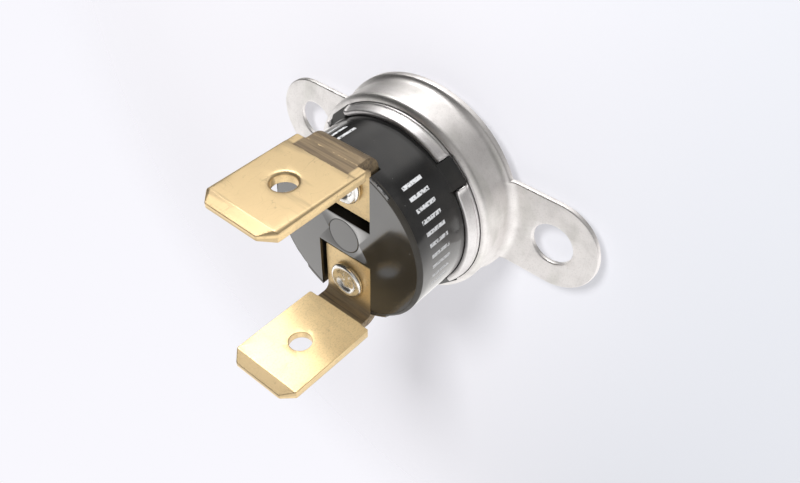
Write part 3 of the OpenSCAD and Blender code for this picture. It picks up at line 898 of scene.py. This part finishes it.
def make_body(s):
    """Moulded body with two tab slots, a round mould mark and four keys."""
    radius = s["barrel"]
    base_r = BODY_HIGH.x
    face_z = BODY_HIGH.z
    seat_z = BODY_LOW.z
    slot_z = face_z - s["slot_depth"]
    half = s["slot_width"] / 2
    gap = s["slot_gap"] / 2
    band_z = CUP_HIGH.z
    crimp_z = band_z - s["crimp_height"]
    cavity_r = radius - BODY_WALL
    ceiling_z = slot_z - BODY_ROOF
    edge = FACE_EDGE
    slot_angle = math.asin(half / radius)
    quarter = math.pi / 2
    wall_arc = steps(slot_angle - quarter, quarter - slot_angle, 96)
    slot_arc = steps(quarter - slot_angle, quarter + slot_angle, 24)[1:-1]

    shell = Shell()
    angles = wall_arc + slot_arc
    angles += [angle + math.pi for angle in angles]
    rows = [(cavity_r, ceiling_z), (cavity_r, seat_z), (base_r, seat_z), (base_r, crimp_z)]
    rows += [(radius, z) for z in steps(band_z, slot_z, 6)]
    rings = [shell.loop([polar(r, angle, z) for angle in angles]) for r, z in rows]
    shell.skin(rings)
    shell.cap(rings[0])
    floor_ring = rings[-1]

    wall_count = len(wall_arc)
    slot_count = len(slot_arc)
    plan = []
    amounts = []
    base = []
    for side in (0, 1):
        start = side * (wall_count + slot_count)
        for i, angle in enumerate(wall_arc):
            vert = floor_ring[start + i]
            base.append(vert)
            plan.append(vert.co.xy.copy())
            broken = 1 - ease(abs(angle), *CHAMFER_END)
            uneven = noise.noise(Vector((angle * 9, side * 5, 2.0)))
            chamfer = edge + (s["face_chamfer"] - edge) * broken
            amounts.append(chamfer * (1 + CHAMFER_SPREAD * uneven))
        sign = 1 - 2 * side
        corners = [Vector((sign * half, sign * gap)), Vector((-sign * half, sign * gap))]
        corner_verts = shell.loop([(*corner, slot_z) for corner in corners])
        for corner, vert in zip(corners, corner_verts):
            base.append(vert)
            plan.append(corner)
            amounts.append(edge)
        outer = floor_ring[start + wall_count - 1:start + wall_count + slot_count]
        outer.append(floor_ring[(start + wall_count + slot_count) % len(floor_ring)])
        shell.cap(outer + corner_verts[::-1])

    levels = [base]
    for inward, down in ((0, 1), (0.05, 0.88), (0.88, 0.05), (1, 0)):
        flat = inset_loop(plan, [inward * amount for amount in amounts])
        levels.append(shell.loop(
            [(*point, face_z - down * amount) for point, amount in zip(flat, amounts)]))
    flat = inset_loop(plan, [amount + 0.05 for amount in amounts])
    levels.append(shell.loop([(*point, face_z) for point in flat]))
    shell.skin(levels)

    mark_r = s["mark_diameter"] / 2
    groove_z = face_z - MARK_GROOVE
    mark = [(mark_r, face_z), (mark_r - 0.04, groove_z)]
    mark += [(mark_r - 0.10, groove_z), (mark_r - 0.14, face_z)]
    round_angles = around(72)
    mark_rings = [shell.loop([polar(r, angle, z) for angle in round_angles]) for r, z in mark]
    shell.skin(mark_rings)
    shell.cap(mark_rings[-1])
    shell.fill(levels[-1], mark_rings[0])

    low = crimp_z + KEY_GAP
    high = crimp_z + s["key_height"]
    deep = radius - KEY_ROOT
    key_r = CUP_HIGH.x - s["cup_step"] + s["key_proud"]
    section = [(deep, low), (key_r, low), (key_r, low + s["key_foot"])]
    section += [(radius - KEY_TUCK, high), (deep, high)]
    for angle in KEY_ANGLES:
        shell.wedge(section, s["key_width"], KEY_EDGE, Matrix.Rotation(angle, 4, "Z"))
    return shell.object("moulded_body")


ARC_STEPS = 6


def rounded_outline(corners):
    """Closed outline from (x, y, radius) corners, counter-clockwise, with the corners rounded."""
    outline = []
    for i, (x, y, radius) in enumerate(corners):
        point = Vector((x, y))
        before = (Vector(corners[i - 1][:2]) - point).normalized()
        after = (Vector(corners[(i + 1) % len(corners)][:2]) - point).normalized()
        opening = before.angle(after)
        reach_back = radius / math.tan(opening / 2)
        centre = point + (before + after).normalized() * radius / math.sin(opening / 2)
        first = point + before * reach_back - centre
        last = point + after * reach_back - centre
        sweep = first.angle_signed(last)
        for share in steps(0, 1, ARC_STEPS):
            turn = Matrix.Rotation(-sweep * share, 2)
            outline.append(centre + turn @ first)
    return outline


NECK_SOFT = 0.03
NECK_TOP = (1.10, 1.04)


class TabForm:
    """The tab as a flat blank of width and length, and how the blank is bent up."""

    def __init__(self, s):
        self.s = s
        self.sheet = s["tab_sheet"]
        self.neutral = s["tab_bend"] + self.sheet / 2
        self.plate_end = TAB_LOW.y
        self.bend_y = TAB_HIGH.y - self.sheet - s["tab_bend"]
        self.plate_z = TAB_LOW.z + self.sheet / 2
        self.plate_length = self.bend_y - self.plate_end
        self.bend_length = self.neutral * math.pi / 2
        self.bend_z = self.plate_z + self.neutral
        self.shoulder_z = TAB_HIGH.z - s["tab_length"]
        self.shoulder = self.plate_length + self.bend_length + self.shoulder_z - self.bend_z
        self.tip = self.shoulder + s["tab_length"]
        self.bevel_start = self.tip - s["tip_bevel"]
        bend_end = self.plate_length + self.bend_length
        self.neck_low = (bend_end - NECK_SOFT, bend_end + NECK_SOFT)
        self.neck_high = tuple(self.shoulder + top for top in NECK_TOP)

    def corners(self):
        """Outline of the blank as (x, y, radius) corners."""
        plate = self.s["tab_plate_width"] / 2
        blade = TAB_HIGH.x
        chamfer = self.s["tip_chamfer"]
        right = [(plate, 0, 0.2), (plate, self.shoulder, 0.1), (blade, self.shoulder, 0.2)]
        right += [(blade, self.tip - chamfer, 0.3), (blade - chamfer, self.tip, 0.3)]
        left = [(-x, y, radius) for x, y, radius in right[::-1]]
        return right + left

    def edge_at(self, along):
        """Rounding of the edge: crisp on the plate and the tip, generous on the blade."""
        crisp = self.s["tip_edge"]
        share = ease(along, self.shoulder, self.shoulder + 0.5)
        share *= ease(along, self.tip - 0.1, self.tip - self.s["tip_bevel"])
        return crisp + (self.s["tab_edge"] - crisp) * share

    def bent(self, point):
        """Puts a point of the blank (width, length, offset to the inner side) in place."""
        across, along, offset = point
        coined = max((along - self.bevel_start) / self.s["tip_bevel"], 0.0)
        offset *= 1 - coined * (1 - self.s["tip_sheet"] / self.sheet)
        if offset < 0:
            neck = ease(along, *self.neck_low) * ease(along, *self.neck_high)
            offset *= 1 - neck * 2 * self.s["neck_coin"] / self.sheet
        past = along - self.plate_length
        if past <= 0:
            return Vector((across, self.plate_end + along, self.plate_z + offset))
        angle = min(past / self.neutral, math.pi / 2)
        radius = self.neutral - offset
        straight = max(past - self.bend_length, 0.0)
        return Vector((
            across,
            self.bend_y + radius * math.sin(angle),
            self.bend_z - radius * math.cos(angle) + straight))


BURR_EDGE = 0.06
ROLL_OVER = 1.6
HOLE_COLUMNS = 56
DETENT_EDGE = 0.2
RIVET_HOLE_EDGE = 0.03
RIVET_HOLE_GAP = 0.02
BEND_CUTS = 14
BLADE_CUTS = 12


def edge_levels(edge, sheet):
    """(inset, offset) pairs round a stamped edge, crisp on the inner face and rolled on the outer."""
    half = sheet / 2

    def corner(inset, drop):
        return [(inset * (1 - math.sin(a)), half - drop * (1 - math.cos(a)))
                for a in steps(0, math.pi / 2, 5)]

    crisp = min(edge, BURR_EDGE)
    rolled = corner(ROLL_OVER * edge, edge)
    return corner(crisp, crisp) + [(inset, -offset) for inset, offset in rolled[::-1]]


def make_tab(s, name, side):
    """Push-on tab, made as a flat blank and bent; side is -1 for the lower one."""
    form = TabForm(s)
    shell = Shell()
    outline = rounded_outline(form.corners())
    rounding = [form.edge_at(point.y) for point in outline]
    level_count = len(edge_levels(0.1, form.sheet))

    def edge_loops(points, amounts, outward):
        loops = []
        for level in range(level_count):
            pairs = [edge_levels(amount, form.sheet)[level] for amount in amounts]
            flat = inset_loop(points, [outward * inset for inset, _ in pairs])
            loops.append(shell.loop([(*p, offset) for p, (_, offset) in zip(flat, pairs)]))
        shell.skin(loops)
        return loops[0], loops[-1]

    inner_face, outer_face = edge_loops(outline, rounding, 1)
    inner_holes = []
    outer_holes = []
    rivet_along = (RIVET_LOW.y + RIVET_HIGH.y) / 2 - form.plate_end
    hole_along = form.shoulder + s["tab_hole_height"]
    rivet_r = s["rivet_shank"] / 2 + RIVET_HOLE_GAP
    holes = (
        (hole_along, s["tab_hole"] / 2, DETENT_EDGE),
        (rivet_along, rivet_r, RIVET_HOLE_EDGE),
    )
    round_angles = around(HOLE_COLUMNS)
    for along, radius, edge in holes:
        ring = [Vector((0, along)) + polar(radius, a).xy for a in round_angles]
        inner, outer = edge_loops(ring, [edge] * len(ring), -1)
        inner_holes.append(inner)
        outer_holes.append(outer)
    shell.fill(inner_face, *inner_holes)
    shell.fill(outer_face, *outer_holes)
    bend_end = form.plate_length + form.bend_length
    cuts = steps(form.plate_length, bend_end, BEND_CUTS)[:-1]
    cuts += [place for edge in (form.neck_low, form.neck_high) for place in steps(*edge, 3)]
    cuts += [form.bevel_start + shift for shift in (-0.05, 0.0, 0.05)]
    cuts += steps(form.shoulder + 0.3, form.bevel_start - 0.3, BLADE_CUTS)
    shell.slice(Vector((0, 1, 0)), cuts)
    shell.move(form.bent)
    if side < 0:
        shell.move(lambda point: Vector((point.x, -point.y, point.z)))
    return shell.object(name)


RIVET_COLUMNS = 96
RIVET_FOOT_R = 0.95
RIVET_FOOT_HEIGHT = 0.4
DISH_DROP = 0.28
CRINKLE_RIM = 0.01
CRINKLE_DISH = 0.07


def make_rivet(s, name, low, high):
    """Rivet with a rolled head whose dish is crinkled from the closing tool."""
    head = s["rivet_head"]
    roll = head / 2
    shank = s["rivet_shank"] / 2
    rim = high.x - roll
    head_z = high.z - head
    foot_r = RIVET_FOOT_R
    foot_top = low.z + RIVET_FOOT_HEIGHT
    dish_r = s["rivet_dish"] / 2
    dish_z = high.z - DISH_DROP
    section = [(0, low.z), (foot_r - 0.1, low.z), (foot_r, low.z + 0.1), (foot_r, foot_top)]
    section += [(shank, foot_top + 0.02), (shank, head_z), (rim, head_z)]
    section += [(rim + roll * math.cos(a), head_z + roll + roll * math.sin(a))
                for a in steps(-math.pi / 2, math.pi * 0.55, 12)[1:]]
    section += [(dish_r + 0.22, high.z - 0.05), (dish_r + 0.1, high.z - 0.16)]
    section += [(dish_r, dish_z + 0.03), (dish_r * 0.75, dish_z), (dish_r * 0.4, dish_z + 0.03)]
    section += [(0, dish_z + 0.05)]

    def crinkle(point, angle):
        if point.z < head_z + 0.1:
            return point
        radius = point.xy.length
        inner = 1 - ease(radius, dish_r * 0.8, high.x)
        along_crinkle = Vector((math.cos(angle) * 1.6, math.sin(angle) * 1.6, radius * 2 + low.z))
        sway = noise.noise(along_crinkle)
        return point + Vector((0, 0, (CRINKLE_RIM + CRINKLE_DISH * inner) * sway))

    shell = Shell()
    shell.lathe(section, RIVET_COLUMNS, Vector((0, (low.y + high.y) / 2, 0)), crinkle)
    return shell.object(name)


class SWITCH_OT_flange(bpy.types.Operator):
    """Make the drawn flange with its two ears"""

    bl_idname = "switch_part.flange"
    bl_label = "Drawn flange"

    def execute(self, context):
        material = sheet_finish("flange_sheet", "aluminium", 0.25)
        finish_piece(make_flange(sizes()), material, "mounting_flange")
        return {"FINISHED"}


class SWITCH_OT_cup(bpy.types.Operator):
    """Make the sensing cup with its crimped band"""

    bl_idname = "switch_part.cup"
    bl_label = "Crimped cup"

    def execute(self, context):
        material = sheet_finish("cup_sheet", "cup", 0.6)
        finish_piece(make_cup(sizes()), material, "sensing_cup")
        return {"FINISHED"}


class SWITCH_OT_body(bpy.types.Operator):
    """Make the moulded body"""

    bl_idname = "switch_part.body"
    bl_label = "Moulded body"

    def execute(self, context):
        s = sizes()
        s["barrel"] = BODY_HIGH.x - s["crimp_lean"]
        material = phenolic_finish("black_moulding", BODY_HIGH.z, s["barrel"], s["face_chamfer"])
        finish_piece(make_body(s), material, "switch_body")
        return {"FINISHED"}


class SWITCH_OT_tabs(bpy.types.Operator):
    """Make the two push-on tabs"""

    bl_idname = "switch_part.tabs"
    bl_label = "Push-on tabs"

    def execute(self, context):
        form = TabForm(sizes())
        material = brass_finish("rolled_brass", form.shoulder_z, form.bend_y)
        for place, side in (("upper", 1), ("lower", -1)):
            tab = make_tab(sizes(), place + "_tab", side)
            finish_piece(tab, material, place + "_terminal")
        return {"FINISHED"}


class SWITCH_OT_rivets(bpy.types.Operator):
    """Make the two rivets that hold the tabs"""

    bl_idname = "switch_part.rivets"
    bl_label = "Rolled rivets"

    def execute(self, context):
        material = plating_finish("bright_plating")
        for place in ("upper", "lower"):
            low, high = reach(place + "_rivet")
            made = make_rivet(sizes(), place + "_rolled_rivet", low, high)
            finish_piece(made, material, place + "_rivet")
        return {"FINISHED"}


class SWITCH_OT_works(bpy.types.Operator):
    """Give the pieces inside their finishes, and make the leaf that bends"""

    bl_idname = "switch_part.works"
    bl_label = "Works inside"

    def execute(self, context):
        silver = plain_metal_finish("contact_silver_finish", (0.87, 0.86, 0.83), 0.22)
        bronze = plain_metal_finish("leaf_bronze_finish", (0.72, 0.46, 0.27), 0.25)
        finishes = {
            "bimetal_disc": plain_metal_finish("bimetal_finish", (0.52, 0.49, 0.44), 0.3),
            "pin_guide": moulded_finish("guide_finish", (0.10, 0.055, 0.03), 0.4),
            "push_pin": moulded_finish("ceramic_finish", (0.82, 0.80, 0.74), 0.3),
            "moving_contact": silver,
            "fixed_contact": silver,
            "fixed_strip": plain_metal_finish("strip_brass_finish", (0.78, 0.56, 0.27), 0.28),
        }
        for node, material in finishes.items():
            data = frame["nodes"][node].data
            data.materials.clear()
            data.materials.append(material)
        self.make_leaf(bronze)
        return {"FINISHED"}

    def make_leaf(self, material):
        """Leaf of the contact arm, with extra edges across it where it leaves the rivet."""
        shell = Shell()
        shell.mesh.from_mesh(frame["nodes"]["contact_arm"].data)
        bmesh.ops.remove_doubles(shell.mesh, verts=shell.mesh.verts[:], dist=1e-6)
        shell.move(lambda point: point / MM)
        joint = next(j for j in frame["joints"] if j["name"] == "arm_flex")
        root = Vector(joint["pos_m"])
        shell.slice(Vector((0, 1, 0)), steps(root.y / MM - 0.4, root.y / MM + 0.4, 8))
        leaf = shell.object("contact_leaf")
        leaf.data.transform(Matrix.Scale(MM, 4))
        leaf.data.materials.append(material)
        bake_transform(leaf)
        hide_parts("contact_arm")


class SWITCH_OT_stage(bpy.types.Operator):
    """Set up the camera, the pale floor and the soft light"""

    bl_idname = "switch_part.stage"
    bl_label = "Stage"

    def execute(self, context):
        stage = context.scene.switch_stage
        context.scene.view_settings.view_transform = "Standard"
        self.make_camera(context, stage)
        self.make_floor(context, stage)
        self.make_world(context, stage)
        self.make_lamp(context, stage)
        return {"FINISHED"}

    def make_camera(self, context, stage):
        camera = bpy.data.objects.new("camera", bpy.data.cameras.new("camera"))
        context.scene.collection.objects.link(camera)
        camera.data.lens = stage.camera_lens
        camera.data.sensor_width = 36
        camera.data.sensor_fit = "HORIZONTAL"
        camera.data.clip_start = 1 * MM
        place = Vector(stage.camera_place)
        back = (place - Vector(stage.camera_aim)).normalized()
        right = Vector((0, 1, 0)).cross(back).normalized()
        turn = Matrix((right, back.cross(right), back)).transposed().to_4x4()
        roll = Matrix.Rotation(stage.camera_roll, 4, "Z")
        camera.matrix_world = Matrix.Translation(place) @ turn @ roll
        context.scene.camera = camera

    def rays(self, finish):
        """Masks of the rays that show the picture's background, and of those that metal mirrors."""
        path = finish.node("ShaderNodeLightPath").socket.node
        camera, through, mirrored = (
            Wire(finish, path.outputs[name])
            for name in ("Is Camera Ray", "Is Transmission Ray", "Is Glossy Ray"))
        return camera.largest(through), mirrored

    def make_floor(self, context, stage):
        """Round sheet of paper that fades into the white room; the metal sees the room instead."""
        shell = Shell()
        shell.cap(shell.loop([polar(FLOOR_R, angle) for angle in around(96)]))
        floor = shell.object("floor")
        floor.data.transform(Matrix.Scale(MM, 4))
        floor.visible_glossy = False
        f = new_finish("pale_paper")
        x, y, z = f.parts(f.place())
        radius = (x * x + y * y) ** 0.5
        # Painted shade: the paper gets darker towards +X, away from the light.
        shade = f.mix(f.rise(x, -5.0, 30.0), tint("floor"), tint("floor_far_shade"))
        shade = f.mix(f.noise(0.05, 2) * 0.08, shade, PAPER_MOTTLE)
        lit_shade = f.mix(PAPER_LOSS, shade, BLACK)
        lit = f.node("ShaderNodeBsdfDiffuse", sockets={"Color": lit_shade})
        glow = f.node("ShaderNodeEmission", sockets={"Color": shade, "Strength": 1.0})
        seen, _ = self.rays(f)
        share = seen * (1 - stage.shadow_depth)
        paper = f.node("ShaderNodeMixShader", sockets={0: share, 1: lit, 2: glow})
        clear = f.node("ShaderNodeBsdfTransparent")
        fade = f.rise(radius, FLOOR_R * 0.5, FLOOR_R * 0.95)
        floor.data.materials.append(
            f.output(f.node("ShaderNodeMixShader", sockets={0: fade, 1: paper, 2: clear})))

    def make_world(self, context, stage):
        """Room round the switch: white table below, pale wall behind, soft box overhead.

        Limits are parts of a direction: y is up in the picture, x to the right, z to the tabs.
        """
        f = Finish(bpy.data.worlds.new("soft_room"))
        context.scene.world = f.owner
        x, y, z = f.parts(f.node("ShaderNodeTexCoord"))
        below = 1 - f.rise(y, -0.12, -0.04)
        above = f.rise(y, 0.6, 0.8)
        seen, mirrored = self.rays(f)
        white = stage.table_level + mirrored * stage.mirror_level
        table = below * (white - 0.25 * f.rise(x, -0.65, -0.2)) * (1 - 0.2 * f.rise(z, 0.3, 0.5))
        wall = f.rise(y, 0.1, 0.5) * (1 - f.rise(x, 0.1, 0.35))
        wall = wall * (1 - 0.68 * f.rise(z, -0.68, -0.52)) * (1 - f.rise(z, -0.3, 0.0))
        side = f.rise(x, 0.3, 0.7) * (1 - f.rise(z, -0.4, 0.0))
        ceiling = above * (1 - f.rise(z, -0.05, 0.1))
        front = f.rise(z, 0.1, 0.4) * f.rise(x, 0.0, 0.25)
        lamp = f.rise(y, 0.68, 0.8) * f.rise(z, -0.46, -0.3) * (1 - f.rise(z, -0.14, -0.02))
        lamp = lamp * (1 - f.rise(x, -0.35, 0.0))
        level = stage.room_level + table + wall * stage.wall_level + lamp * stage.lamp_level
        level = level + side * stage.side_level + ceiling * stage.ceiling_level
        level = level + front * stage.front_level
        sky = f.node("ShaderNodeBackground", sockets={
            "Color": f.mix(seen, tint("room"), tint("floor")),
            "Strength": seen + (1 - seen) * level})
        f.node("ShaderNodeOutputWorld", sockets={"Surface": sky})

    def make_lamp(self, context, stage):
        """Lamp that throws the shadow on the paper."""
        data = bpy.data.lights.new("key", "AREA")
        data.shape = "DISK"
        data.size = KEY_LAMP_SIZE * MM
        data.energy = stage.key_power
        key = bpy.data.objects.new("key", data)
        context.scene.collection.objects.link(key)
        key.location = Vector(KEY_LAMP_PLACE) * MM
        key.rotation_euler = key.location.to_track_quat("Z", "Y").to_euler()
        key.visible_camera = False
        key.visible_glossy = False


class SWITCH_PT_panel(bpy.types.Panel):
    """Pieces of the switch and their settings"""

    bl_label = "Temperature switch"
    bl_space_type = "VIEW_3D"
    bl_region_type = "UI"
    bl_category = "Switch"

    def draw(self, context):
        for operator in OPERATORS:
            self.layout.operator(operator.bl_idname)
        scene = context.scene
        for group in (scene.switch_sizes, scene.switch_colours, scene.switch_stage):
            box = self.layout.box()
            for name in type(group).__annotations__:
                box.prop(group, name)


OPERATORS = (
    SWITCH_OT_stage,
    SWITCH_OT_flange,
    SWITCH_OT_cup,
    SWITCH_OT_body,
    SWITCH_OT_tabs,
    SWITCH_OT_rivets,
    SWITCH_OT_works,
)
CLASSES = (SwitchSizes, SwitchColours, SwitchStage, *OPERATORS, SWITCH_PT_panel)


def register():
    for cls in CLASSES:
        bpy.utils.register_class(cls)
    bpy.types.Scene.switch_sizes = PointerProperty(type=SwitchSizes)
    bpy.types.Scene.switch_colours = PointerProperty(type=SwitchColours)
    bpy.types.Scene.switch_stage = PointerProperty(type=SwitchStage)


def unregister():
    del bpy.types.Scene.switch_stage
    del bpy.types.Scene.switch_colours
    del bpy.types.Scene.switch_sizes
    for cls in reversed(CLASSES):
        bpy.utils.unregister_class(cls)


def main():
    register()
    bpy.ops.switch_part.stage()
    bpy.ops.switch_part.flange()
    bpy.ops.switch_part.cup()
    bpy.ops.switch_part.body()
    bpy.ops.switch_part.tabs()
    bpy.ops.switch_part.rivets()
    bpy.ops.switch_part.works()


if __name__ == "__main__":
    main()
